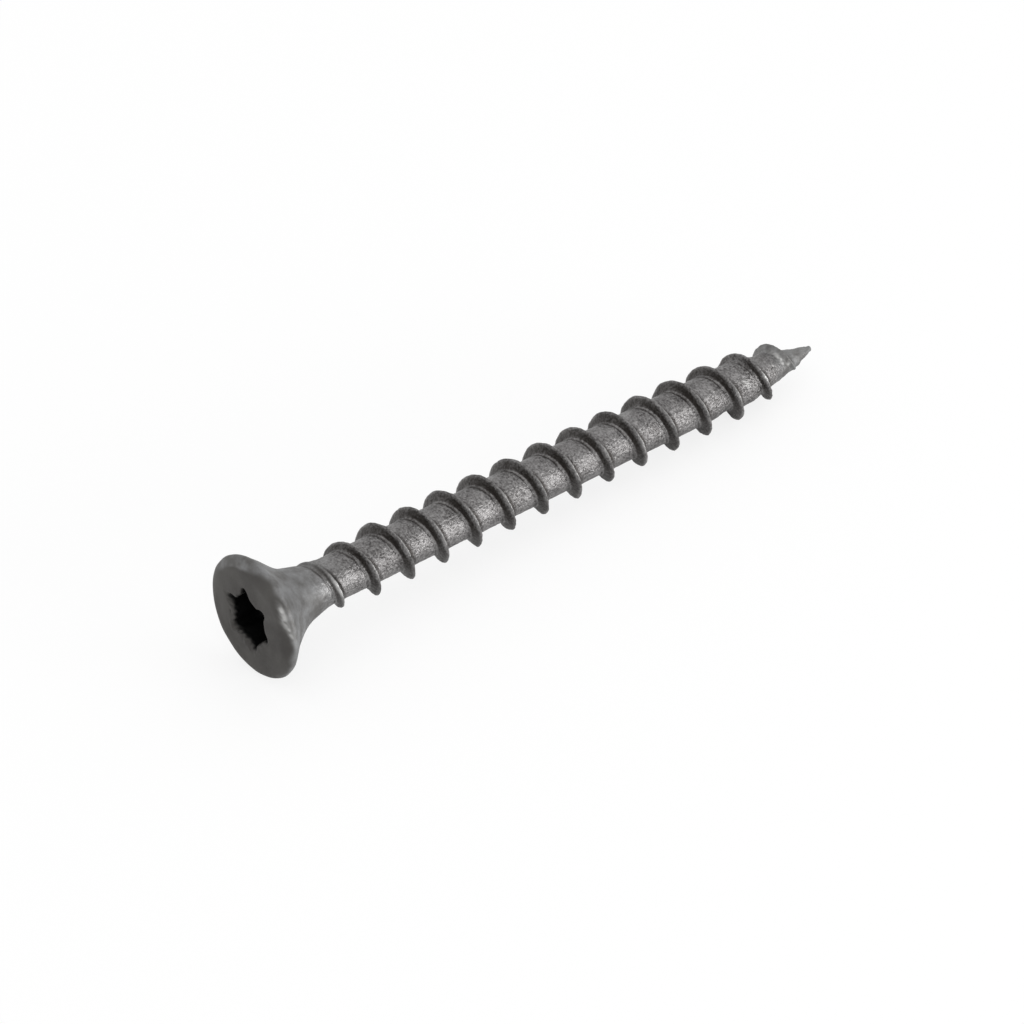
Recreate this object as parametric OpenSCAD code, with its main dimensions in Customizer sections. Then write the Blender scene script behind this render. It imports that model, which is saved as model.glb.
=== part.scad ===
// Countersunk wood screw with a six-lobe recess, lying as it comes to rest.
// The screw is drawn upright: the flat of its head at the origin, its axis along +Z, its point up.
// It is then laid down along +X, on its rim and on the last thread crest of full height.

/* [Screw] */
// Length over all, from the flat of the head to the point
screw_length = 50; // [40:1:70]
// Diameter of the shank between the threads
core_diameter = 3.16; // [2.9:0.02:3.3]

/* [Head] */
// Diameter over the rim
head_diameter = 9.06; // [8.7:0.02:10]
// Width of the rounded shoulder between the flat and the rim
shoulder_width = 1.02; // [0.8:0.01:1.1]
// Radius of that shoulder
shoulder_radius = 1.34; // [1.2:0.02:1.6]
// Radius of the rounding at the rim itself
rim_radius = 0.38; // [0.2:0.02:0.46]
// Angle of the countersunk cone behind the rim
cone_angle = 90; // [80:1:100]
// Radius of the hollow that leads from the cone into the shank
flare_radius = 6.9; // [4:0.1:7]

/* [Six-lobe recess] */
// Width over two opposite lobes
recess_width = 4.45; // [4.2:0.05:4.6]
// Width between two opposite hollows
recess_waist = 3.2; // [3:0.05:3.3]
// Radius of each lobe
lobe_radius = 0.4; // [0.34:0.02:0.44]
// Depth of the straight walls, below the flat
recess_depth = 2.4; // [1.8:0.1:2.6]
// Depth of the cone at the bottom of the recess
recess_cone_depth = 0.7; // [0.4:0.1:0.9]
// Turn of the lobes about the axis
recess_turn = 44; // [0:1:59]

/* [Thread] */
// Advance of the single right-hand thread in one turn
thread_pitch = 2.92; // [2.6:0.01:3.2]
// Height of the thread above the shank
thread_height = 0.75; // [0.6:0.01:0.85]
// Lean of the flank that faces the head
head_flank_angle = 26; // [18:1:32]
// Lean of the flank that faces the point
point_flank_angle = 14; // [10:1:24]
// Width of the blunt crest
crest_width = 0.14; // [0.08:0.01:0.2]
// Height of the fillet at the foot of each flank
root_fillet = 0.18; // [0.1:0.01:0.24]
// Distance from the flat to where the thread begins to rise from the underside
thread_start = 4; // [3.8:0.05:5]
// Distance along the axis in which the thread rises to its full height
thread_rise = 5; // [3:0.1:6]
// Distance from the flat to the first crest that faces the surface below
first_crest = 4.37; // [3.6:0.01:5.6]
// Distance along the axis in which the thread sinks away near the point
thread_fall = 1.8; // [1.4:0.1:2.6]

/* [Point] */
// Length of the tapering point
point_length = 6.4; // [5:0.1:8]
// Diameter of its blunt end
point_diameter = 0.32; // [0.2:0.02:0.4]
// Fullness of the taper: 1 is a straight cone, less is more bulging
point_fullness = 0.85; // [0.75:0.01:1]
// Length of bare point beyond the end of the thread
bare_point = 1.8; // [1.2:0.05:2.2]

/* [Hidden] */

zinc = [0.52, 0.52, 0.53];
lobes = 6;
overlap = 0.5;
floor_ledge = 0.1;
root_depth = 0.19;
hidden_crest = 0.08;
fillet_slope = 1.2;
arc_steps = 8;
flare_steps = 20;
taper_steps = 12;
steps_per_turn = 36;
turned_sides = 96;
round_sides = 64;

core_r = core_diameter / 2;
head_r = head_diameter / 2;
face_r = head_r - shoulder_width;
crest_half = crest_width / 2;
taper_start = screw_length - point_length;
thread_end = screw_length - bare_point;

// The rounding of the rim touches the shoulder's arc from inside
rim_centre_r = head_r - rim_radius;
shoulder_drop = sqrt(pow(shoulder_radius - rim_radius, 2) - pow(rim_centre_r - face_r, 2));
rim_centre_depth = shoulder_radius - shoulder_drop;
shoulder_turn = atan2(rim_centre_r - face_r, shoulder_drop);

// The cone is tangent to the rounding of the rim, and the hollow to the cone and to the shank
cone_turn = cone_angle / 2;
cone_start_r = rim_centre_r + rim_radius * cos(cone_turn);
cone_start = rim_centre_depth + rim_radius * sin(cone_turn);
cone_end_r = core_r + flare_radius * (1 - cos(cone_turn));
cone_end = cone_start + (cone_start_r - cone_end_r) / tan(cone_turn);
flare_end = cone_end + flare_radius * sin(cone_turn);

// The hollows of the recess are arcs tangent to its lobes
lobe_centre_r = recess_width / 2 - lobe_radius;
waist_r = recess_waist / 2;
half_step = 180 / lobes;
waist_reach = lobe_centre_r * cos(half_step);
hollow_radius = (pow(lobe_radius, 2) - pow(lobe_centre_r, 2) - pow(waist_r, 2) + 2 * waist_r * waist_reach)
    / (2 * (waist_r - waist_reach - lobe_radius));
hollow_centre_r = waist_r + hollow_radius;
joint_share = lobe_radius / (lobe_radius + hollow_radius);

// The crests that face the surface below, and the last of them on the parallel shank
last_crest = first_crest + thread_pitch * floor((taper_start - first_crest) / thread_pitch);
crest_r = core_r + thread_height;

// The screw lies on a line that touches the rounding of its rim and that crest
rest_rise = rim_centre_r - crest_r;
rest_run = last_crest - rim_centre_depth;
rest_tilt = atan2(rest_rise, rest_run) + asin(rim_radius / norm([rest_rise, rest_run]));
rest_height = rim_centre_r * cos(rest_tilt) + rim_centre_depth * sin(rest_tilt) + rim_radius;

// How far the lying screw reaches from the centre of its flat, back to the shoulder and on to the point
head_reach = face_r * sin(rest_tilt) + shoulder_radius * (1 - cos(rest_tilt));
point_reach = screw_length * cos(rest_tilt) + point_diameter / 2 * sin(rest_tilt);

function arc(centre, radius, from, to, steps) =
    [for (i = [0:steps]) let (a = from + (to - from) * i / steps) centre + radius * [cos(a), sin(a)]];

function smooth(u) = let (v = min(1, max(0, u))) v * v * (3 - 2 * v);

// Radius of the point at a distance back from its end
function taper_r(back) =
    max(point_diameter / 2, core_r * pow(min(1, max(0, back) / point_length), point_fullness));

// Radius of the body behind the rim at a distance from the flat: cone, hollow, shank and point
function body_r(z) =
    z < cone_end ? cone_end_r + (cone_end - z) * tan(cone_turn) :
    z < flare_end ? core_r + flare_radius - sqrt(pow(flare_radius, 2) - pow(flare_end - z, 2)) :
    z < taper_start ? core_r : taper_r(screw_length - z);

// Height of the crest over the body, just below it at both ends of the thread
function crest_height(z) =
    (thread_height + hidden_crest) * smooth((z - thread_start) / thread_rise)
    * smooth((thread_end - z) / thread_fall) - hidden_crest;

// Section of the thread at an angle counted from the first crest below, as points on the screw
function thread_section(angle) =
    let (
        z = first_crest + thread_pitch * angle / 360,
        crest = crest_height(z),
        full = thread_height + root_depth,
        flank = (crest + root_depth) * (thread_height - root_fillet) / full,
        foot = crest - flank,
        head_foot = crest_half + flank * tan(head_flank_angle),
        point_foot = crest_half + flank * tan(point_flank_angle),
        fillet = (foot + root_depth) * fillet_slope
    )
    [
        for (p = [
            [-head_foot - fillet, -root_depth], [-head_foot, foot], [-crest_half, crest],
            [crest_half, crest], [point_foot, foot], [point_foot + fillet, -root_depth]
        ])
        let (r = body_r(z + p[0]) + p[1]) [r * cos(angle), r * sin(angle), z + p[0]]
    ];

// Half of the body's section: flat, shoulder, rim, cone, hollow, shank and point
module body_section() {
    taper = [
        for (i = [0:taper_steps])
        let (back = point_length * (1 - i / taper_steps)) [taper_r(back), screw_length - back]
    ];
    polygon(concat(
        [[0, 0]],
        arc([face_r, shoulder_radius], shoulder_radius, -90, shoulder_turn - 90, arc_steps),
        arc([rim_centre_r, rim_centre_depth], rim_radius, shoulder_turn - 90, cone_turn, arc_steps),
        arc([core_r + flare_radius, flare_end], flare_radius, cone_turn + 180, 180, flare_steps),
        taper,
        [[0, screw_length]]
    ));
}

module body() {
    rotate_extrude($fn = turned_sides)
        body_section();
}

// One closed band of triangles, whose inner side lies inside the body
module thread() {
    first = floor((thread_start - first_crest) / thread_pitch * steps_per_turn);
    last = ceil((thread_end - first_crest) / thread_pitch * steps_per_turn);
    sections = [for (i = [first:last]) thread_section(i * 360 / steps_per_turn)];
    corners = len(sections[0]);
    rings = len(sections);
    sides = [
        for (i = [0:rings - 2]) for (j = [0:corners - 1])
        let (here = i * corners + j, beside = i * corners + (j + 1) % corners)
        for (face = [[here, beside, beside + corners], [here, beside + corners, here + corners]]) face
    ];
    start_cap = [for (j = [corners - 1:-1:0]) j];
    end_cap = [for (j = [0:corners - 1]) (rings - 1) * corners + j];
    polyhedron(
        points = [for (section = sections) for (p = section) p],
        faces = concat(sides, [start_cap, end_cap]),
        convexity = 10
    );
}

// Six round lobes, joined by six round hollows
module recess_outline() {
    difference() {
        polygon([
            for (k = [0:lobes - 1]) for (side = [-1, 1])
            let (lobe = k * 2 * half_step, hollow = lobe + side * half_step)
            lobe_centre_r * [cos(lobe), sin(lobe)] * (1 - joint_share)
                + hollow_centre_r * [cos(hollow), sin(hollow)] * joint_share
        ]);
        for (k = [0:lobes - 1])
            rotate((2 * k + 1) * half_step)
                translate([hollow_centre_r, 0])
                    circle(r = hollow_radius, $fn = round_sides);
    }
    for (k = [0:lobes - 1])
        rotate(2 * k * half_step)
            translate([lobe_centre_r, 0])
                circle(r = lobe_radius, $fn = round_sides);
}

module recess() {
    rotate(recess_turn)
        translate([0, 0, -overlap])
            linear_extrude(recess_depth + overlap)
                recess_outline();
    translate([0, 0, recess_depth - floor_ledge])
        cylinder(
            h = recess_cone_depth + floor_ledge, r1 = waist_r - floor_ledge, r2 = 0, $fn = round_sides
        );
}

module upright_screw() {
    difference() {
        union() {
            body();
            thread();
        }
        recess();
    }
}

module screw() {
    color(zinc)
        translate([(head_reach - point_reach) / 2, 0, rest_height])
            rotate([0, 90 + rest_tilt, 0])
                upright_screw();
}

screw();
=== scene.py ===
# Countersunk wood screw, dull galvanised, lying on a pale table.
import math
import bpy
import numpy as np
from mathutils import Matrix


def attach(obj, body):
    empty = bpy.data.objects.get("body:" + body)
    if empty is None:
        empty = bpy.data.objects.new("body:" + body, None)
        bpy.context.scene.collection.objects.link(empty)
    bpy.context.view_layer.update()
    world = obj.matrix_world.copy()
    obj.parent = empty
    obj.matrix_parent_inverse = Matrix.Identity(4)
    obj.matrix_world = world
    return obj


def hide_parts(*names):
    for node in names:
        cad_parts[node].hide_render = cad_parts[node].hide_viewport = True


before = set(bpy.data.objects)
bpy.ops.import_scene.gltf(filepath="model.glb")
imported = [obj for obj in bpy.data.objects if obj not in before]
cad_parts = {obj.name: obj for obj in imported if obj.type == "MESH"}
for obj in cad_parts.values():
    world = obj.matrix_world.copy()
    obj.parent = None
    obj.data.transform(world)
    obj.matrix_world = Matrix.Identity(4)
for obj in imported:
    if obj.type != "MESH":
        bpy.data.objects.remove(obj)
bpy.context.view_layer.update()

millimetre = 0.001

# Sizes are in millimetres in the screw's own axes: the flat of the head at 0, the end of the point
# at length, and angles in degrees from the side that faces the table, by way of +Y
screw = {
    "length": 50.0, "coreRadius": 1.60, "columns": 140,
    "tilt": 3.02032, "restHeight": 4.55714, "headShift": -24.87609,
}


def smoothStep(u):
    # 0 below 0, 1 above 1, and 3u^2 - 2u^3 between
    v = np.clip(u, 0.0, 1.0)
    return v * v * (3.0 - 2.0 * v)


def softMax(a, b, width):
    # the larger of a and b, with a rounded change-over: (a + b + sqrt((a - b)^2 + width^2)) / 2
    return 0.5 * (a + b + np.sqrt((a - b) ** 2 + width ** 2))


def softMin(a, b, width):
    # the smaller of a and b, rounded the same way
    return -softMax(-a, -b, width)


def hill(x, centre, width):
    # a smooth hill of height 1: exp(-((x - centre) / width)^2)
    return np.exp(-((x - centre) / width) ** 2)


def awayFrom(angle, degrees):
    # angle left to a direction, the short way round, in degrees
    return (np.degrees(angle) - degrees + 180.0) % 360.0 - 180.0


def waves(p, seed, shortest, longest, count=40):
    # smooth lumps: the sum of count cosine waves in random directions, scaled to a spread of about 1
    rng = np.random.default_rng(seed)
    direction = rng.normal(size=(count, 3))
    direction /= np.linalg.norm(direction, axis=1)[:, None]
    wavelength = np.exp(rng.uniform(math.log(shortest), math.log(longest), count))
    phase = rng.uniform(0.0, 2.0 * math.pi, count)
    turns = p @ (direction * (2.0 * math.pi / wavelength)[:, None]).T + phase
    return np.cos(turns).sum(axis=1) / math.sqrt(count / 2.0)


def arc(centre, radius, start, end, steps):
    # points centre + radius * (cos a, sin a), with a running evenly from start to end
    a = np.linspace(start, end, steps + 1)
    return np.stack([centre[0] + radius * np.cos(a), centre[1] + radius * np.sin(a)], axis=1)


head = {
    "rimRadius": 4.53, "shoulderWidth": 1.02, "shoulderRound": 1.34, "rimRound": 0.38,
    "coneAngle": 90.0, "flareRound": 6.9,
    "shoulderSteps": 7, "rimSteps": 9, "coneSteps": 4, "flareSteps": 14, "faceSteps": 9,
    "stopShort": 0.05, "asideBy": 0.08, "backBy": 0.05, "shiftFrom": 2.0, "shiftOver": 4.5,
}


def headArcs():
    # shoulder and rim are tangent arcs, the cone is tangent to the rim, the flare to cone and shank
    flatRadius = head["rimRadius"] - head["shoulderWidth"]
    rimCentre = head["rimRadius"] - head["rimRound"]
    inner = head["shoulderRound"] - head["rimRound"]
    drop = math.sqrt(inner ** 2 - (rimCentre - flatRadius) ** 2)
    rimDepth = head["shoulderRound"] - drop
    coneTurn = math.radians(head["coneAngle"] / 2.0)
    coneTop = rimCentre + head["rimRound"] * math.cos(coneTurn)
    coneStart = rimDepth + head["rimRound"] * math.sin(coneTurn)
    coneFoot = screw["coreRadius"] + head["flareRound"] * (1.0 - math.cos(coneTurn))
    coneEnd = coneStart + (coneTop - coneFoot) / math.tan(coneTurn)
    flareEnd = coneEnd + head["flareRound"] * math.sin(coneTurn)
    return {
        "flatRadius": flatRadius, "rimCentre": (rimCentre, rimDepth), "coneTurn": coneTurn,
        "shoulderTurn": math.atan2(rimCentre - flatRadius, drop),
        "coneTop": (coneTop, coneStart), "coneFoot": (coneFoot, coneEnd),
        "flareCentre": (screw["coreRadius"] + head["flareRound"], flareEnd),
    }


arcs = headArcs()
# The end of the point is worn blunt: it stops wornBy short of the full length
point = {
    "length": 6.4, "endRadius": 0.16, "fullness": 0.85, "steps": 12,
    "wornBy": 0.24, "endRound": 0.21, "endSteps": 5,
    "fuller": 0.03, "fullerFrom": 47.2, "fullerOver": 0.8,
}


def bodyRadius(z):
    # the flare's arc, then the parallel shank, then coreRadius * (back / length) ^ fullness on the point,
    # a little fuller near its end
    reach = np.maximum(arcs["flareCentre"][1] - z, 0.0)
    flare = arcs["flareCentre"][0] - np.sqrt(head["flareRound"] ** 2 - reach ** 2)
    back = np.clip((screw["length"] - z) / point["length"], 0.0, 1.0)
    taper = np.maximum(point["endRadius"], screw["coreRadius"] * back ** point["fullness"])
    taper = taper + point["fuller"] * smoothStep((z - point["fullerFrom"]) / point["fullerOver"])
    return np.where(z < arcs["flareCentre"][1], flare, taper)


# Dents and lumps: lift, distance from the flat, its reach along, angle round the axis, its spread
unevenness = [
    (0.16, 1.95, 0.55, 138.0, 24.0), (-0.09, 1.05, 0.35, 140.0, 26.0), (-0.12, 3.1, 0.6, 136.0, 26.0),
    (0.05, 2.4, 0.9, 318.0, 40.0), (-0.24, 41.1, 0.75, 316.0, 26.0), (0.10, 46.6, 1.1, 300.0, 45.0),
    (0.07, 5.0, 0.9, 330.0, 60.0), (0.05, 4.7, 0.8, 130.0, 28.0), (0.08, 6.1, 0.35, 134.0, 26.0),
    (0.14, 48.15, 0.32, 305.0, 60.0), (0.06, 48.9, 0.5, 305.0, 70.0), (0.04, 42.6, 1.5, 316.0, 30.0),
    (0.08, 47.5, 0.3, 305.0, 50.0), (-0.10, 44.8, 0.45, 132.0, 30.0), (-0.07, 46.95, 0.35, 132.0, 35.0),
    (-0.06, 48.2, 0.6, 132.0, 40.0),
]


def unevenLift(z, angle):
    # the sum of lift * exp(-(along / reach)^2 - (round / spread)^2)
    total = np.zeros_like(z)
    for lift, at, reach, turn, spread in unevenness:
        total = total + lift * hill(z, at, reach) * hill(awayFrom(angle, turn), 0.0, spread)
    return total


thread = {
    "pitch": 2.92, "height": 0.712, "crestHalf": 0.05, "headFlank": 22.5, "pointFlank": 14.0,
    "crestRound": 0.07, "headFoot": 0.11, "pointFoot": 0.40, "firstCrest": 4.37,
    "start": 4.0, "rise": 5.0, "end": 48.3, "endFall": 1.1,
    "sinkFrom": 46.12, "sinkLength": 1.2, "sunk": 0.26, "sunkLean": 2.0,
    "youngTo": 6.4, "youngFade": 0.7, "youngLean": 20.0,
    "fullSide": 312.0, "fuller": 0.06,
    "bentAt": 44.1, "bentReach": 0.6, "bent": -0.21, "bentOver": 1.4,
    "beadAt": -0.39, "bead": 0.03, "beadReach": 0.055,
    "creviceAt": -0.52, "crevice": 0.04, "creviceReach": 0.05,
    "leastFoot": 0.001, "leastTop": 0.02, "growth": 2.0, "spareTurns": 2,
    "rowGaps": [(-1.46, 10), (-0.68, 9), (-0.32, 4), (-0.10, 4), (0.10, 5), (0.55, 8)],
}
# Worn stretches of the crest: share worn off, distance from the flat, reach along the axis
wornCrest = [
    (0.24, 8.5, 0.7), (0.15, 40.5, 0.5), (0.34, 43.5, 0.7), (0.12, 44.9, 0.5),
    (0.07, 30.3, 0.5), (0.07, 33.2, 0.5), (0.06, 36.1, 0.5),
]


def threadOffsets():
    # rows of one pitch: evenly spaced between the listed offsets, which crowd at the crest and the feet
    starts = [at for at, rows in thread["rowGaps"]] + [thread["rowGaps"][0][0] + thread["pitch"]]
    pieces = []
    for k, (at, rows) in enumerate(thread["rowGaps"]):
        pieces.append(np.linspace(at, starts[k + 1], rows, endpoint=False))
    return np.concatenate(pieces)


def ridgeBend(offset, crestAt):
    # shift along the axis where the last full turn is bent: bent * exp(-((crestAt - bentAt) / reach)^2),
    # fading out on both flanks
    near = 1.0 - smoothStep(np.abs(offset) / thread["bentOver"])
    return thread["bent"] * hill(crestAt, thread["bentAt"], thread["bentReach"]) * near


def ridgeHeight(offset, crestAt, angle):
    # height * fade, falling on each flank by offset / tan(flank angle), rounded at crest and foot, with
    # a bead and a crevice along the foot on the head's side; it is fuller on one side of the screw, and
    # the young ridge under the head has flatter flanks
    fade = smoothStep((crestAt - thread["start"]) / thread["rise"])
    sink = smoothStep((crestAt - thread["sinkFrom"]) / thread["sinkLength"])
    fade = fade * (1.0 - (1.0 - thread["sunk"]) * sink)
    fade = fade * smoothStep((thread["end"] - crestAt) / thread["endFall"])
    for share, at, reach in wornCrest:
        fade = fade * (1.0 - share * hill(crestAt, at, reach))
    fuller = 1.0 + thread["fuller"] * np.cos(np.radians(awayFrom(angle, thread["fullSide"])))
    top = thread["height"] * fade * fuller
    young = 1.0 - smoothStep((crestAt - thread["youngTo"]) / thread["youngFade"])
    lean = np.where(offset < 0.0, thread["headFlank"], thread["pointFlank"]) + thread["youngLean"] * young
    slope = np.tan(np.radians(lean)) * (1.0 + thread["sunkLean"] * sink)
    flank = top - (np.abs(offset) - thread["crestHalf"]) / slope
    crest = softMin(top, flank, thread["crestRound"] * fade)
    foot = np.where(offset < 0.0, thread["headFoot"], thread["pointFoot"])
    ridge = softMax(crest, 0.0, foot * fade + thread["leastFoot"])
    grown = smoothStep(fade * thread["growth"]) * (1.0 - sink)
    ridge = ridge + grown * thread["bead"] * hill(offset, thread["beadAt"], thread["beadReach"])
    ridge = ridge - grown * thread["crevice"] * hill(offset, thread["creviceAt"], thread["creviceReach"])
    return ridge, fade, grown, crest / np.maximum(top, thread["leastTop"])


recess = {
    "width": 4.45, "waist": 3.2, "lobeRadius": 0.4, "lobes": 6, "turn": 44.0,
    "depth": 2.4, "coneDepth": 0.7, "floorLedge": 0.1, "leastLedge": 0.02,
    "mouthRound": 0.14, "wornRound": 0.22, "wornSide": 35.0, "wornEven": 0.5, "wornSwing": 0.6,
    "floorRound": 0.25, "floorInset": 0.6, "wallSpacing": 0.7,
    "coneSteps": 4, "floorSteps": 2, "wallSteps": 9, "roundSteps": 5,
}
# Wear of the recess's outline: lift outwards, angle, spread
mouthWear = [
    (0.14, 250.0, 15.0), (-0.14, 212.0, 9.0), (0.13, 104.0, 10.0), (0.12, 136.0, 14.0), (0.13, 163.0, 10.0),
    (0.24, 316.0, 12.0), (-0.10, 279.0, 9.0), (0.20, 14.0, 13.0), (0.12, 70.0, 12.0), (0.08, 340.0, 9.0),
]


def recessOutline(angle):
    # distance from the axis to an outline of round lobes joined by tangent round hollows, each of them
    # centre * cos(a) plus or minus sqrt(radius^2 - (centre * sin(a))^2), with its wear added
    step = math.pi / recess["lobes"]
    lobeCentre = recess["width"] / 2.0 - recess["lobeRadius"]
    waist = recess["waist"] / 2.0
    across = lobeCentre * math.cos(step)
    hollow = recess["lobeRadius"] ** 2 - lobeCentre ** 2 - waist ** 2 + 2.0 * waist * across
    hollow = hollow / (2.0 * (waist - across - recess["lobeRadius"]))
    hollowCentre = waist + hollow
    share = recess["lobeRadius"] / (recess["lobeRadius"] + hollow)
    meetAlong = lobeCentre * (1.0 - share) + hollowCentre * math.cos(step) * share
    meetAngle = math.atan2(hollowCentre * math.sin(step) * share, meetAlong)
    a = np.abs((angle - math.radians(recess["turn"]) + step) % (2.0 * step) - step)
    inLobe = np.minimum(a, meetAngle)
    inHollow = step - np.maximum(a, meetAngle)
    lobe = lobeCentre * np.cos(inLobe)
    lobe = lobe + np.sqrt(recess["lobeRadius"] ** 2 - (lobeCentre * np.sin(inLobe)) ** 2)
    wall = hollowCentre * np.cos(inHollow)
    wall = wall - np.sqrt(hollow ** 2 - (hollowCentre * np.sin(inHollow)) ** 2)
    outline = np.where(a < meetAngle, lobe, wall)
    for lift, turn, spread in mouthWear:
        outline = outline + lift * hill(awayFrom(angle, turn), 0.0, spread)
    return outline


def recessRows(angle):
    # rows of (radius, depth) from the bottom of the recess, up its wall and round its mouth
    outline = recessOutline(angle)
    level = np.zeros_like(angle)
    coneRadius = recess["waist"] / 2.0 - recess["floorLedge"]
    rows = []
    for f in np.linspace(0.0, 1.0, recess["coneSteps"] + 1)[1:]:
        rows.append((level + coneRadius * f, level + recess["depth"] + recess["coneDepth"] * (1.0 - f)))
    inset = recess["floorRound"] * recess["floorInset"]
    inside = np.maximum(outline - inset, coneRadius + recess["leastLedge"])
    for f in np.linspace(0.0, 1.0, recess["floorSteps"] + 1)[1:]:
        rows.append((coneRadius + (inside - coneRadius) * f, level + recess["depth"]))
    wornSide = np.cos(np.radians(awayFrom(angle, recess["wornSide"])))
    worn = smoothStep(recess["wornEven"] + recess["wornSwing"] * wornSide)
    top = recess["mouthRound"] + recess["wornRound"] * worn
    bottom = recess["depth"] - recess["floorRound"]
    for f in np.linspace(0.0, 1.0, recess["wallSteps"] + 1) ** recess["wallSpacing"]:
        rows.append((outline, bottom + (top - bottom) * f))
    for t in np.linspace(0.0, math.pi / 2.0, recess["roundSteps"] + 1)[1:]:
        rows.append((outline + top * (1.0 - math.cos(t)), top * (1.0 - math.sin(t))))
    return rows


def headRows(angle):
    # rows of (radius, depth): recess, flat, shoulder, rim, cone, and the flare, which stops a little
    # short of the thread
    rows = recessRows(angle)
    level = np.zeros_like(angle)
    mouth = rows[-1][0]
    for f in np.linspace(0.0, 1.0, head["faceSteps"] + 1)[1:]:
        rows.append((mouth + (arcs["flatRadius"] - mouth) * f, level))
    start = arcs["shoulderTurn"] - math.pi / 2.0
    shoulderCentre = (arcs["flatRadius"], head["shoulderRound"])
    shoulder = arc(shoulderCentre, head["shoulderRound"], -math.pi / 2.0, start, head["shoulderSteps"])
    rim = arc(arcs["rimCentre"], head["rimRound"], start, arcs["coneTurn"], head["rimSteps"])
    cone = np.linspace(arcs["coneTop"], arcs["coneFoot"], head["coneSteps"] + 1)
    reach = arcs["flareCentre"][1] - thread["start"] + head["stopShort"]
    end = math.pi + math.asin(reach / head["flareRound"])
    flareStart = math.pi + arcs["coneTurn"]
    flare = arc(arcs["flareCentre"], head["flareRound"], flareStart, end, head["flareSteps"])
    for radius, depth in np.concatenate([shoulder[1:], rim[1:], cone[1:], flare[1:]]):
        rows.append((level + radius, level + depth))
    return np.array([r for r, d in rows]), np.array([d for r, d in rows])


def gridFaces(low, high):
    # two triangles between each pair of neighbouring columns of two rows of vertex numbers
    nextLow, nextHigh = np.roll(low, -1, axis=-1), np.roll(high, -1, axis=-1)
    first = np.stack([low, nextLow, nextHigh], axis=-1).reshape(-1, 3)
    second = np.stack([low, nextHigh, high], axis=-1).reshape(-1, 3)
    return np.concatenate([first, second])


# Painted shade on the thread: the flank that faces the head, a line in the crevice at its foot and a strip
# behind the crest, less where the lamp falls
paintedShade = {
    "from": -0.18, "fullBy": 0.26, "fadesFrom": 0.41, "fadesLater": 0.31, "fadesOver": 0.34,
    "litSide": 234.0, "litSpread": 32.0, "least": 0.66, "deepestSide": 220.0, "deepestSpread": 50.0,
    "growth": 1.6, "inCrevice": 0.85, "creviceReach": 0.08,
    "litBandFrom": 204.0, "litBandTo": 278.0, "litBandFade": 20.0, "litBand": 0.9,
    "behind": 0.85, "behindSide": 243.0, "behindSpread": 36.0, "behindEven": 0.5, "behindGrowth": 3.0,
    "behindRise": 0.08, "behindTo": 0.12, "behindWider": 0.43, "behindFade": 0.20,
    "lastAt": 45.3, "lastFade": 0.7, "lessShadeAt": 43.55, "lessShadeReach": 0.4, "lessShade": 0.5,
}


def flankShade(offset, crestAt, angle, fade, grown, share):
    # how much painted shade there is: on the flank that faces the head, less near the crest and on the lit
    # side, most on one side of the screw, with a thin dark line of painted shade in the crevice and another
    # behind the crest
    deepest = hill(awayFrom(angle, paintedShade["deepestSide"]), 0.0, paintedShade["deepestSpread"])
    deepest = paintedShade["least"] + (1.0 - paintedShade["least"]) * deepest
    fadesFrom = 1.0 - hill(awayFrom(angle, paintedShade["litSide"]), 0.0, paintedShade["litSpread"])
    fadesFrom = paintedShade["fadesFrom"] + paintedShade["fadesLater"] * fadesFrom
    flank = smoothStep((share - paintedShade["from"]) / paintedShade["fullBy"])
    flank = flank * (1.0 - smoothStep((share - fadesFrom) / paintedShade["fadesOver"]))
    flank = flank * (offset < 0.0) * deepest * smoothStep(fade * paintedShade["growth"])
    # less painted shade in the crevice on the lit band of the screw
    litBand = smoothStep((np.degrees(angle) - paintedShade["litBandFrom"]) / paintedShade["litBandFade"])
    litBand = litBand * (1.0 - smoothStep((np.degrees(angle) - paintedShade["litBandTo"]) / paintedShade["litBandFade"]))
    crevice = paintedShade["inCrevice"] * hill(offset, thread["creviceAt"], paintedShade["creviceReach"]) * grown
    crevice = crevice * (1.0 - paintedShade["litBand"] * litBand)
    pastEdge = offset - paintedShade["behindTo"] - paintedShade["behindWider"] * fade
    behind = smoothStep(offset / paintedShade["behindRise"]) * (1.0 - smoothStep(pastEdge / paintedShade["behindFade"]))
    facing = hill(awayFrom(angle, paintedShade["behindSide"]), 0.0, paintedShade["behindSpread"])
    behind = behind * (paintedShade["behindEven"] + (1.0 - paintedShade["behindEven"]) * facing)
    behind = paintedShade["behind"] * behind * smoothStep(fade * paintedShade["behindGrowth"])
    amount = np.maximum(np.maximum(flank, crevice), behind)
    amount = amount * (1.0 - paintedShade["lessShade"] * hill(crestAt, paintedShade["lessShadeAt"], paintedShade["lessShadeReach"]))
    return amount * (1.0 - smoothStep((crestAt - paintedShade["lastAt"]) / paintedShade["lastFade"]))


def tipRows(start, angle):
    # depths and radii of the bare point: along the taper, then round its worn end, a quarter circle
    end = screw["length"] - point["wornBy"]
    roundStart = end - point["endRound"]
    taperDepth = np.linspace(start, roundStart, point["steps"] + 1)
    turn = np.linspace(0.0, math.pi / 2.0, point["endSteps"] + 1)[1:-1]
    depth = np.concatenate([taperDepth, roundStart + point["endRound"] * np.sin(turn)])
    radius = np.concatenate([bodyRadius(taperDepth), bodyRadius(roundStart) * np.cos(turn)])
    across = np.ones((1, len(angle)))
    return depth[:, None] * across, radius[:, None] * across


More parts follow.
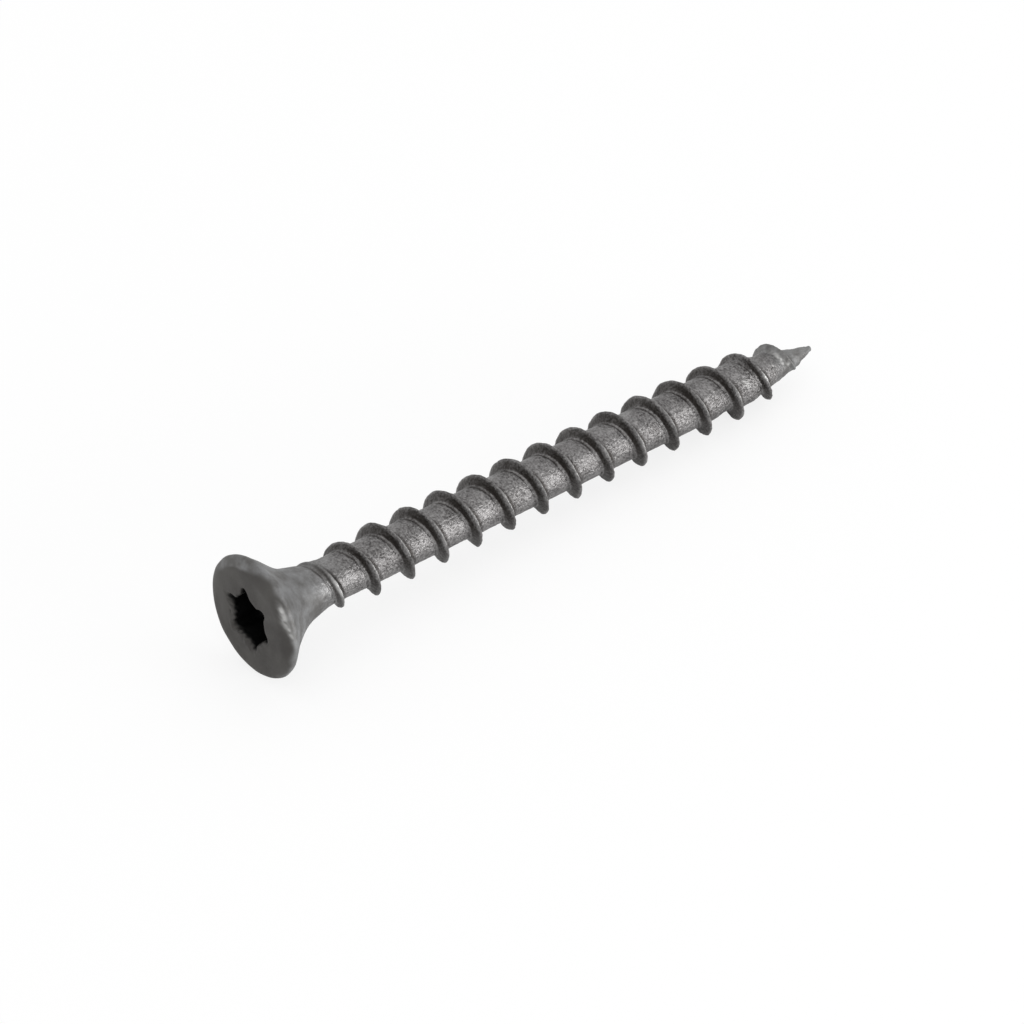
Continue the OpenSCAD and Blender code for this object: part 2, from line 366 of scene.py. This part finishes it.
def buildScrew():
    # one closed skin: rows of the head, then helical rows of the shank that join one pitch further on,
    # then rows of the point; the crest lies at firstCrest + pitch * (turn + angle / 2 pi)
    columns = screw["columns"]
    angle = np.arange(columns) * 2.0 * math.pi / columns
    parts = {"place": [], "angle": [], "ridge": [], "shadeAmount": []}
    faces = []
    count = 0

    def addRows(radius, depth, ridge, shadeAmount):
        nonlocal count
        numbers = count + np.arange(radius.size).reshape(radius.shape)
        around = np.broadcast_to(angle, radius.shape)
        place = np.stack([radius * np.cos(around), radius * np.sin(around), depth], axis=-1)
        parts["place"].append(place.reshape(-1, 3))
        parts["angle"].append(around.ravel())
        parts["ridge"].append(np.broadcast_to(ridge, radius.shape).ravel())
        parts["shadeAmount"].append(np.broadcast_to(shadeAmount, radius.shape).ravel())
        count += radius.size
        return numbers

    radius, depth = headRows(angle)
    headNumbers = addRows(radius, depth, 0.0, 0.0)
    faces.append(gridFaces(headNumbers[:-1], headNumbers[1:]))
    pocketRows = len(recessRows(angle))

    zStart, zEnd = thread["start"], thread["end"]
    startRadius = np.full((1, columns), bodyRadius(np.array(zStart)))
    startRing = addRows(startRadius, np.full((1, columns), zStart), 0.0, 0.0)
    faces.append(gridFaces(headNumbers[-1:], startRing))

    offsets = threadOffsets()
    perPitch = len(offsets)
    firstTurn = math.floor((zStart - thread["firstCrest"]) / thread["pitch"]) - thread["spareTurns"]
    lastTurn = math.ceil((zEnd - thread["firstCrest"]) / thread["pitch"]) + thread["spareTurns"]
    turns = np.repeat(np.arange(firstTurn, lastTurn), perPitch)
    rowOffset = np.tile(offsets, lastTurn - firstTurn)[:, None]
    crestAt = thread["firstCrest"] + thread["pitch"] * (turns[:, None] + angle[None, :] / (2.0 * math.pi))
    z = crestAt + rowOffset + ridgeBend(rowOffset, crestAt)
    height, fade, grown, share = ridgeHeight(rowOffset, crestAt, angle)
    inRange = (z > zStart) & (z < zEnd)
    zIn = np.clip(z, zStart, zEnd)
    # painted shade of the thread's flanks, one number per point
    shadeAmount = flankShade(rowOffset, crestAt, angle, fade, grown, share)
    numbers = addRows(bodyRadius(zIn) + height * inRange, zIn, height / thread["height"], shadeAmount)

    tipDepth, tipRadius = tipRows(zEnd, angle)
    tipNumbers = addRows(tipRadius, tipDepth, 0.0, 0.0)
    numbers = np.where(z <= zStart, startRing, numbers)
    numbers = np.where(z >= zEnd, tipNumbers[:1], numbers)
    wrapped = np.concatenate([numbers[perPitch:, :1], np.repeat(tipNumbers[:1, :1], perPitch, axis=0)])
    right = np.concatenate([numbers[:, 1:], wrapped], axis=1)
    faces.append(np.stack([numbers[:-1], right[:-1], right[1:]], axis=-1).reshape(-1, 3))
    faces.append(np.stack([numbers[:-1], right[1:], numbers[1:]], axis=-1).reshape(-1, 3))
    faces.append(gridFaces(tipNumbers[:-1], tipNumbers[1:]))

    # the last two points are the poles, at the bottom of the recess and at the end of the point
    floorDepth = recess["depth"] + recess["coneDepth"]
    tipEnd = screw["length"] - point["wornBy"]
    parts["place"].append(np.array([[0.0, 0.0, floorDepth], [0.0, 0.0, tipEnd]]))
    for key in ("angle", "ridge", "shadeAmount"):
        parts[key].append(np.zeros(2))
    first, last = headNumbers[0], tipNumbers[-1]
    faces.append(np.stack([np.full(columns, count), np.roll(first, -1), first], axis=-1))
    faces.append(np.stack([last, np.roll(last, -1), np.full(columns, count + 1)], axis=-1))
    faces = np.concatenate(faces)
    distinct = (faces[:, 0] != faces[:, 1]) & (faces[:, 1] != faces[:, 2]) & (faces[:, 2] != faces[:, 0])
    parts = {key: np.concatenate(values) for key, values in parts.items()}
    parts["inRecess"] = np.arange(len(parts["place"])) < pocketRows * columns
    parts["inRecess"][-2] = True
    used, faces = np.unique(faces[distinct], return_inverse=True)
    return {key: values[used] for key, values in parts.items()}, faces.reshape(-1, 3)


def layDown(p):
    # turned about Y from upright to lying, point along +X and a little down, then set on the table:
    # x cos(t) + z sin(t) along, z cos(t) - x sin(t) up
    t = math.radians(90.0 + screw["tilt"])
    x = screw["headShift"] + p[:, 0] * math.cos(t) + p[:, 2] * math.sin(t)
    z = screw["restHeight"] - p[:, 0] * math.sin(t) + p[:, 2] * math.cos(t)
    return np.stack([x, p[:, 1], z], axis=1) * millimetre


def vertexNormals(p, triangles):
    # area-weighted mean of the normals of the triangles round each point
    n = np.cross(p[triangles[:, 1]] - p[triangles[:, 0]], p[triangles[:, 2]] - p[triangles[:, 0]])
    total = np.zeros_like(p)
    for corner in range(3):
        for axis in range(3):
            total[:, axis] += np.bincount(triangles[:, corner], weights=n[:, axis], minlength=len(p))
    least = 1e-12
    return total / np.maximum(np.linalg.norm(total, axis=1), least)[:, None]


# Each kind of lump: height, seed, shortest and longest wavelength
coating = {
    "shankLumps": (0.004, 3, 0.6, 1.8), "shankGrains": (0.008, 4, 0.24, 0.42),
    "headLumps": (0.012, 5, 1.2, 4.0), "mouthLumps": (0.035, 6, 0.35, 0.8),
    "crestLumps": (0.016, 7, 0.7, 3.0), "shankFrom": 3.0, "shankOver": 3.5,
    "mouthDepth": 0.1, "mouthReach": 0.5, "mouthWidth": 0.2, "mouthFade": 0.45, "mouthLeast": 1.3,
    "mouthEven": 0.45, "mouthSwing": 0.6, "axisFade": 0.3,
}


def lumps(share, p, settings):
    # share * height * waves
    height, seed, shortest, longest = settings
    return share * height * waves(p, seed, shortest, longest)


def addCoating(parts, triangles):
    # the sum of the zinc's lumps along the normal, fine on the shank, broad on the head and ragged round
    # the mouth; then the dents, straight out from the axis, and the head's small shift
    p = parts["place"]
    z = p[:, 2]
    radius = np.hypot(p[:, 0], p[:, 1])
    normal = vertexNormals(p, triangles)
    onShank = smoothStep((z - coating["shankFrom"]) / coating["shankOver"])
    beyond = radius - recessOutline(parts["angle"])
    near = 1.0 - smoothStep((beyond - coating["mouthWidth"]) / coating["mouthFade"])
    mouth = hill(z, coating["mouthDepth"], coating["mouthReach"]) * near * (radius > coating["mouthLeast"])
    wornSide = np.cos(np.radians(awayFrom(parts["angle"], recess["wornSide"])))
    mouth = mouth * smoothStep(coating["mouthEven"] + coating["mouthSwing"] * wornSide)
    lift = lumps(onShank, p, coating["shankLumps"])
    lift = lift + lumps(onShank, p, coating["shankGrains"])
    lift = lift + lumps(1.0 - onShank, p, coating["headLumps"])
    lift = lift + lumps(mouth, p, coating["mouthLumps"])
    lift = lift + lumps(np.clip(parts["ridge"], 0.0, 1.0) ** 2, p, coating["crestLumps"])
    out = np.stack([np.cos(parts["angle"]), np.sin(parts["angle"]), np.zeros_like(z)], axis=1)
    uneven = np.where(parts["inRecess"], 0.0, unevenLift(z, parts["angle"]))
    p = p + normal * lift[:, None] + out * (uneven * smoothStep(radius / coating["axisFade"]))[:, None]
    onHead = 1.0 - smoothStep((z - head["shiftFrom"]) / head["shiftOver"])
    return p + onHead[:, None] * np.array([[0.0, -head["asideBy"], -head["backBy"]]])


# Painted shade deep in the recess and on the head's face, less on its upper side; painted highlights along
# the crests; and where the shank is grainy
paintedLightAndGrain = {
    "recessShadeFrom": 0.02, "recessShadeOver": 0.36, "faceTo": 0.24, "faceFade": 0.32,
    "paleSide": 152.0, "paleSpread": 34.0, "paler": 0.50, "paleFrom": 3.55, "paleOver": 0.5,
    "shadeFurtherSide": 200.0, "shadeFurtherSpread": 8.0, "shadeFurther": 0.24,
    "grainyFrom": 3.4, "grainyOver": 5.5, "smoothFrom": 45.2, "smoothOver": 1.6, "smooth": 0.92,
    "crestFrom": 0.80, "crestFade": 0.14, "crestSide": 234.0, "crestSpread": 22.0, "crestHighlight": 0.3,
    "recessShadeRagged": (0.08, 11, 0.25, 0.8), "faceRagged": (0.05, 12, 0.8, 3.0),
    "streakRagged": (0.3, 13, 0.2, 0.7), "streakMost": 1.5,
}
# Painted highlights, bright streaks and glints where the lamps catch the rim, the ridges and the point:
# strength, distance from the flat, its gain per degree, reach along, angle, spread
paintedHighlights = [
    (0.85, 0.30, 0.002, 0.11, 231.0, 7.5), (0.62, 0.32, 0.0125, 0.12, 247.0, 10.0),
    (0.35, 0.31, 0.005, 0.10, 240.0, 5.0),
    (1.0, 46.42, 0.004, 0.13, 203.0, 26.0), (0.5, 47.00, 0.004, 0.10, 244.0, 12.0),
    (0.9, 6.34, 0.0085, 0.10, 248.0, 30.0), (1.0, 44.07, 0.008, 0.12, 235.0, 7.0),
    (0.4, 42.72, 0.008, 0.16, 232.0, 14.0), (0.10, 48.3, 0.0, 1.2, 195.0, 40.0),
]
# Patches of painted shade, on the lit side near the point: strength, distance from the flat, reach along,
# angle, spread
shadePatches = [(0.38, 46.2, 0.9, 250.0, 30.0)]


def surfaceTones(parts):
    # attributes from 0 to 1: painted shade by depth in the recess, painted shade on the face, less on its
    # upper side and reaching further at one side, the grainy shank, which is smooth again near the point,
    # painted highlight streaks, and painted shade on the flanks with its darker patches
    p, angle = parts["place"], parts["angle"]
    z = p[:, 2]
    ragged = lumps(1.0, p, paintedLightAndGrain["recessShadeRagged"])
    # painted shade: near black with depth in the recess
    recessShade = smoothStep((z + ragged - paintedLightAndGrain["recessShadeFrom"]) / paintedLightAndGrain["recessShadeOver"]) * parts["inRecess"]
    # painted shade on the head's face: less of it on the upper side of the shoulder, and reaching further
    # at one side
    pale = paintedLightAndGrain["paler"] * hill(awayFrom(angle, paintedLightAndGrain["paleSide"]), 0.0, paintedLightAndGrain["paleSpread"])
    pale = pale * smoothStep((np.hypot(p[:, 0], p[:, 1]) - paintedLightAndGrain["paleFrom"]) / paintedLightAndGrain["paleOver"])
    shadeFurther = paintedLightAndGrain["shadeFurther"] * hill(awayFrom(angle, paintedLightAndGrain["shadeFurtherSide"]), 0.0, paintedLightAndGrain["shadeFurtherSpread"])
    edge = z + lumps(1.0, p, paintedLightAndGrain["faceRagged"]) + pale - shadeFurther
    face = 1.0 - smoothStep((edge - paintedLightAndGrain["faceTo"]) / paintedLightAndGrain["faceFade"])
    smooth = paintedLightAndGrain["smooth"] * smoothStep((z - paintedLightAndGrain["smoothFrom"]) / paintedLightAndGrain["smoothOver"])
    grainy = smoothStep((z - paintedLightAndGrain["grainyFrom"]) / paintedLightAndGrain["grainyOver"]) * (1.0 - smooth)
    # painted highlights along the crests on the lit side, then in streaks
    highlightAmount = paintedLightAndGrain["crestHighlight"] * smoothStep((parts["ridge"] - paintedLightAndGrain["crestFrom"]) / paintedLightAndGrain["crestFade"])
    highlightAmount = highlightAmount * hill(awayFrom(angle, paintedLightAndGrain["crestSide"]), 0.0, paintedLightAndGrain["crestSpread"])
    patches = np.clip(1.0 + lumps(1.0, p, paintedLightAndGrain["streakRagged"]), 0.0, paintedLightAndGrain["streakMost"])
    for strength, at, gain, reach, turn, spread in paintedHighlights:
        away = awayFrom(angle, turn)
        streak = hill(z - gain * away, at, reach) * hill(away, 0.0, spread)
        highlightAmount = highlightAmount + strength * streak * patches
    highlightAmount = np.where(parts["inRecess"], 0.0, np.clip(highlightAmount, 0.0, 1.0))
    # painted shade of the flanks, with darker patches of painted shade
    shadeAmount = parts["shadeAmount"]
    for strength, at, reach, turn, spread in shadePatches:
        shadeAmount = np.maximum(shadeAmount, strength * hill(z, at, reach) * hill(awayFrom(angle, turn), 0.0, spread))
    return {"recessShade": recessShade, "face": face, "grainy": grainy, "highlightAmount": highlightAmount, "shadeAmount": shadeAmount}


def makeMesh(name, p, triangles, attributes):
    # an object of smooth triangles, with each attribute as one number per point
    mesh = bpy.data.meshes.new(name)
    mesh.vertices.add(len(p))
    mesh.vertices.foreach_set("co", p.astype(np.float32).ravel())
    mesh.loops.add(triangles.size)
    mesh.loops.foreach_set("vertex_index", triangles.astype(np.int32).ravel())
    mesh.polygons.add(len(triangles))
    mesh.polygons.foreach_set("loop_start", np.arange(0, triangles.size, 3, dtype=np.int32))
    mesh.update(calc_edges=True)
    mesh.validate()
    mesh.polygons.foreach_set("use_smooth", np.ones(len(mesh.polygons), dtype=bool))
    for key, values in attributes.items():
        layer = mesh.attributes.new(key, "FLOAT", "POINT")
        layer.data.foreach_set("value", values.astype(np.float32))
    mesh.update()
    piece = bpy.data.objects.new(name, mesh)
    bpy.context.scene.collection.objects.link(piece)
    return piece


def newMaterial(name):
    # a material with an empty node tree
    material = bpy.data.materials.new(name)
    material.use_nodes = True
    tree = material.node_tree
    tree.nodes.clear()
    return material, tree


def setInput(tree, socket, value):
    # a link where the value is another node's output, else the socket's own number
    if isinstance(value, bpy.types.NodeSocket):
        tree.links.new(value, socket)
    else:
        socket.default_value = value


def addNode(tree, kind, settings=None, inputs=None):
    # a node with its own settings, and a value or a link on each input named
    node = tree.nodes.new(kind)
    for key, value in (settings or {}).items():
        setattr(node, key, value)
    for key, value in (inputs or {}).items():
        setInput(tree, node.inputs[key], value)
    return node


def blendColour(tree, amount, low, high):
    # low + amount * (high - low); sockets 6, 7 and 2 are the colours of a node that mixes other kinds too
    node = addNode(tree, "ShaderNodeMix", {"data_type": "RGBA"})
    setInput(tree, node.inputs[0], amount)
    setInput(tree, node.inputs[6], low)
    setInput(tree, node.inputs[7], high)
    return node.outputs[2]


def noise(tree, place, scale, detail, roughness):
    # Blender's own noise at this scale
    inputs = {"Vector": place, "Scale": scale, "Detail": detail, "Roughness": roughness}
    return addNode(tree, "ShaderNodeTexNoise", None, inputs).outputs["Fac"]


def remap(tree, value, low, high, toLow=0.0, toHigh=1.0):
    # toLow + (toHigh - toLow) * (value - low) / (high - low), held between toLow and toHigh
    inputs = {"Value": value, "From Min": low, "From Max": high, "To Min": toLow, "To Max": toHigh}
    return addNode(tree, "ShaderNodeMapRange", {"clamp": True}, inputs).outputs["Result"]


def maths(tree, operation, first, second):
    # one operation on two values
    node = addNode(tree, "ShaderNodeMath", {"operation": operation})
    setInput(tree, node.inputs[0], first)
    setInput(tree, node.inputs[1], second)
    return node.outputs[0]


def attribute(tree, name):
    # a value that the mesh carries at its points
    return addNode(tree, "ShaderNodeAttribute", {"attribute_name": name}).outputs["Fac"]


# Noises: scale, detail, roughness. Ranges: the values read, then those given where not 0 to 1
# The face's two colours, the flanks' dark colour and the near black of the recess are painted shade; the
# light grey of the streaks is a painted highlight
zinc = {
    "shankDark": (0.070, 0.066, 0.065, 1.0), "shankLight": (0.31, 0.302, 0.300, 1.0),
    "neckDark": (0.130, 0.127, 0.123, 1.0), "neckLight": (0.240, 0.242, 0.244, 1.0),
    "faceDark": (0.068, 0.064, 0.061, 1.0), "faceLight": (0.098, 0.094, 0.089, 1.0),
    "paintedShade": (0.032, 0.028, 0.025, 1.0), "recessShadeBlack": (0.004, 0.004, 0.004, 1.0),
    "paintedHighlights": (0.55, 0.55, 0.54, 1.0),
    "mottle": (800.0, 4.0, 0.6), "grain": (6200.0, 2.0, 0.6), "broad": (380.0, 3.0, 0.55),
    "mottleShare": 0.4, "grainShare": 0.6, "shankTones": (0.37, 0.63), "neckTones": (0.36, 0.64),
    "faceTones": (0.35, 0.65), "shadeTones": (0.0, 1.0, 1.18, 0.90), "metallic": 0.8,
    "grainRoughness": (0.3, 0.7, 0.34, 0.50), "smoothRoughness": (0.0, 0.5, 0.62, 0.34),
    "bumpHeight": 0.00009, "bumpShare": (0.0, 1.0, 0.15, 1.0),
}


def zincMaterial():
    # grey zinc: grainy on the shank, smooth on the neck, with painted shade on the face, the flanks and
    # deep in the recess, and painted highlights in streaks
    material, tree = newMaterial("zinc")
    place = addNode(tree, "ShaderNodeTexCoord").outputs["Object"]
    mottle = noise(tree, place, *zinc["mottle"])
    grain = noise(tree, place, *zinc["grain"])
    broad = noise(tree, place, *zinc["broad"])
    grainy = attribute(tree, "grainy")
    coarse = maths(tree, "MULTIPLY", mottle, zinc["mottleShare"])
    fine = maths(tree, "MULTIPLY", grain, zinc["grainShare"])
    tone = remap(tree, maths(tree, "ADD", coarse, fine), *zinc["shankTones"])
    cloud = remap(tree, broad, *zinc["faceTones"])
    shank = blendColour(tree, tone, zinc["shankDark"], zinc["shankLight"])
    neckTone = remap(tree, mottle, *zinc["neckTones"])
    neck = blendColour(tree, neckTone, zinc["neckDark"], zinc["neckLight"])
    # painted shade on the head's face: a darker, clouded copy of the zinc
    face = blendColour(tree, cloud, zinc["faceDark"], zinc["faceLight"])
    # painted shade on the thread's flanks, patchy with the zinc's tone
    patchy = maths(tree, "MULTIPLY", attribute(tree, "shadeAmount"), remap(tree, tone, *zinc["shadeTones"]))
    colour = blendColour(tree, grainy, neck, shank)
    colour = blendColour(tree, attribute(tree, "face"), colour, face)
    colour = blendColour(tree, patchy, colour, zinc["paintedShade"])
    # painted shade deep in the recess, near black
    colour = blendColour(tree, attribute(tree, "recessShade"), colour, zinc["recessShadeBlack"])
    # painted highlights, a lighter colour
    colour = blendColour(tree, attribute(tree, "highlightAmount"), colour, zinc["paintedHighlights"])
    rough = remap(tree, grain, *zinc["grainRoughness"])
    rough = maths(tree, "MAXIMUM", rough, remap(tree, grainy, *zinc["smoothRoughness"]))
    height = maths(tree, "MULTIPLY", grain, remap(tree, grainy, *zinc["bumpShare"]))
    bump = addNode(tree, "ShaderNodeBump", None, {"Distance": zinc["bumpHeight"], "Height": height})
    shader = addNode(tree, "ShaderNodeBsdfPrincipled", None, {
        "Base Color": colour, "Metallic": zinc["metallic"], "Roughness": rough,
        "Normal": bump.outputs["Normal"],
    })
    addNode(tree, "ShaderNodeOutputMaterial", None, {"Surface": shader.outputs["BSDF"]})
    return material


skin, faces = buildScrew()
tones = surfaceTones(skin)
spots = addCoating(skin, faces)
screwPiece = makeMesh("screw_surface", layDown(spots), faces, tones)
screwPiece.data.materials.append(zincMaterial())
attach(screwPiece, "root")
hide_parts("screw")
print("screw surface:", len(spots), "points,", len(faces), "triangles")

table = {
    "halfWidth": 1.5, "colour": (0.97, 0.97, 0.97, 1.0), "roughness": 0.9, "shine": 0.2, "whitened": 0.8,
}


def makeTable():
    # a pale matt top, partly white of itself for what sees it directly, so that its shadow stays soft
    w = table["halfWidth"]
    mesh = bpy.data.meshes.new("table_top")
    mesh.from_pydata([(-w, -w, 0.0), (w, -w, 0.0), (w, w, 0.0), (-w, w, 0.0)], [], [(0, 1, 2, 3)])
    piece = bpy.data.objects.new("table_top", mesh)
    bpy.context.scene.collection.objects.link(piece)
    material, tree = newMaterial("pale_table")
    matt = addNode(tree, "ShaderNodeBsdfPrincipled", None, {
        "Base Color": table["colour"], "Roughness": table["roughness"],
        "Specular IOR Level": table["shine"],
    })
    white = addNode(tree, "ShaderNodeEmission", None, {"Color": (1.0, 1.0, 1.0, 1.0), "Strength": 1.0})
    path = addNode(tree, "ShaderNodeLightPath").outputs
    mixed = addNode(tree, "ShaderNodeMixShader")
    setInput(tree, mixed.inputs[0], maths(tree, "MULTIPLY", path["Is Camera Ray"], table["whitened"]))
    setInput(tree, mixed.inputs[1], matt.outputs["BSDF"])
    setInput(tree, mixed.inputs[2], white.outputs["Emission"])
    addNode(tree, "ShaderNodeOutputMaterial", None, {"Surface": mixed.outputs["Shader"]})
    mesh.materials.append(material)


makeTable()
print("table made")


def direction(azimuth, elevation):
    # unit vector towards a place at this azimuth (0 is in front, at -Y; 90 is at +X) and height
    a, e = math.radians(azimuth), math.radians(elevation)
    return np.array([math.sin(a) * math.cos(e), -math.cos(a) * math.cos(e), math.sin(e)])


lamps = {
    "key": {"azimuth": 31.0, "elevation": 7.0, "distance": 0.5, "wide": 0.36, "high": 0.11, "watts": 1.6},
    "fill": {"azimuth": -70.0, "elevation": 65.0, "distance": 0.6, "wide": 0.5, "high": 0.5, "watts": 0.3},
    "back": {"azimuth": 145.0, "elevation": 50.0, "distance": 0.6, "wide": 0.5, "high": 0.4, "watts": 0.22},
}


def makeLamp(name, settings):
    # a rectangular lamp at distance * direction, turned to face the origin
    lamp = bpy.data.lights.new(name, "AREA")
    lamp.shape = "RECTANGLE"
    lamp.size = settings["wide"]
    lamp.size_y = settings["high"]
    lamp.energy = settings["watts"]
    holder = bpy.data.objects.new(name, lamp)
    holder.location = direction(settings["azimuth"], settings["elevation"]) * settings["distance"]
    tipped = math.radians(90.0 - settings["elevation"])
    holder.rotation_euler = (tipped, 0.0, math.radians(settings["azimuth"]))
    bpy.context.scene.collection.objects.link(holder)


for lampName, lampSettings in lamps.items():
    makeLamp(lampName, lampSettings)

sky = {"colour": (1.0, 1.0, 1.0, 1.0), "strength": 0.85}
world = bpy.data.worlds.new("studio")
bpy.context.scene.world = world
world.use_nodes = True
background = world.node_tree.nodes["Background"]
background.inputs["Color"].default_value = sky["colour"]
background.inputs["Strength"].default_value = sky["strength"]
print("lamps set")

# The camera looks at target from this azimuth and elevation, its distance in metres, its lens in mm
view = {
    "azimuth": -38.6616, "elevation": 41.8661, "target": (-0.00250058, -0.00045657, 0.002),
    "distance": 0.526378, "lens": 268.913, "sensorWidth": 36.0, "clipStart": 0.01,
}


def makeCamera():
    # stands at target + distance * direction and looks back at target
    camera = bpy.data.cameras.new("camera")
    camera.lens = view["lens"]
    camera.sensor_width = view["sensorWidth"]
    camera.clip_start = view["clipStart"]
    holder = bpy.data.objects.new("camera", camera)
    back = direction(view["azimuth"], view["elevation"])
    holder.location = np.array(view["target"]) + back * view["distance"]
    holder.rotation_euler = (math.radians(90.0 - view["elevation"]), 0.0, math.radians(view["azimuth"]))
    bpy.context.scene.collection.objects.link(holder)
    bpy.context.scene.camera = holder


makeCamera()
bpy.context.scene.view_settings.view_transform = "Standard"

print("done")
